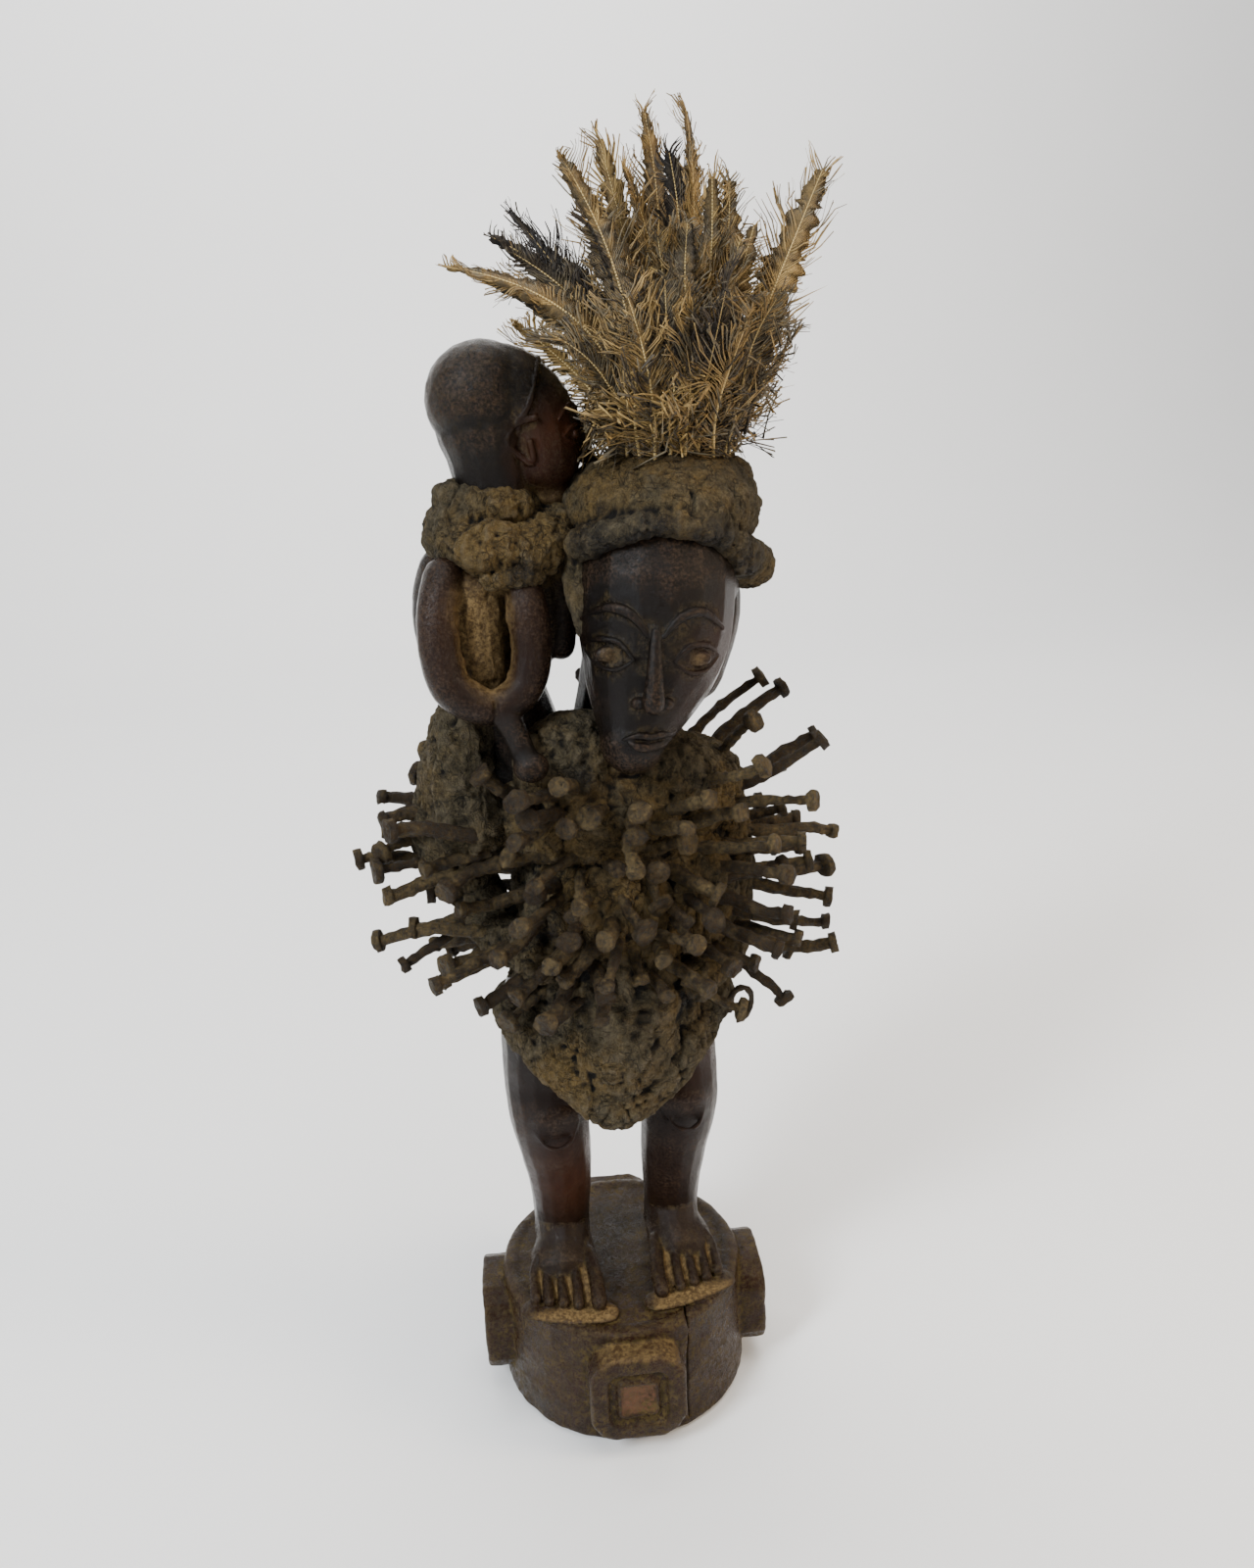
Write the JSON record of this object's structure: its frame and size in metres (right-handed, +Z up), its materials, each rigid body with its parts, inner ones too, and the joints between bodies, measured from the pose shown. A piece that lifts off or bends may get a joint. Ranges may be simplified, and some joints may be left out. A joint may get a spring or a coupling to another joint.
{
  "type": "nail power figure",
  "caption": "Standing carved wooden power figure with a companion at its shoulder, on a round plinth; clay-packed, driven with iron nails and crowned with feathers.",
  "frame": {"origin": "centre of the round plinth's flat underside", "axes": "+Z up; -Y the way the figure faces; +X the viewer's right when facing the figure"},
  "size_m": [0.2173, 0.145, 0.5805],
  "materials": {
    "carved wood": "dark oil-rubbed hardwood, half polished, worn brown on the ridges, with ochre dirt in the hollows",
    "clay crust": "dry matt clay and resin crust, cracked and lumpy, grey-brown with ochre patches",
    "rusted iron": "hand-forged iron nails, rusted and crusted with earth",
    "feather": "old tan and grey-brown feathers, matt and tattered"
  },
  "bodies": {
    "root": {"carved_figure": "carved wood", "companion_collar": "clay crust", "feather_01": "feather", "feather_02": "feather", "feather_03": "feather", "feather_04": "feather", "feather_05": "feather", "feather_06": "feather", "feather_07": "feather", "feather_08": "feather", "feather_09": "feather", "feather_10": "feather", "feather_11": "feather", "feather_12": "feather", "feather_13": "feather", "feather_14": "feather", "feather_15": "feather", "feather_16": "feather", "feather_17": "feather", "feather_18": "feather", "head_cap": "clay crust", "nail_01": "rusted iron", "nail_02": "rusted iron", "nail_03": "rusted iron", "nail_04": "rusted iron", "nail_05": "rusted iron", "nail_06": "rusted iron", "nail_07": "rusted iron", "nail_08": "rusted iron", "nail_09": "rusted iron", "nail_10": "rusted iron", "nail_11": "rusted iron", "nail_12": "rusted iron", "nail_13": "rusted iron", "nail_14": "rusted iron", "nail_15": "rusted iron", "nail_16": "rusted iron", "nail_17": "rusted iron", "nail_18": "rusted iron", "nail_19": "rusted iron", "nail_20": "rusted iron", "nail_21": "rusted iron", "nail_22": "rusted iron", "nail_23": "rusted iron", "nail_24": "rusted iron", "nail_25": "rusted iron", "nail_26": "rusted iron", "nail_27": "rusted iron", "nail_28": "rusted iron", "nail_29": "rusted iron", "nail_30": "rusted iron", "nail_31": "rusted iron", "nail_32": "rusted iron", "nail_33": "rusted iron", "nail_34": "rusted iron", "torso_pack": "clay crust"}
  },
  "joints": []
}
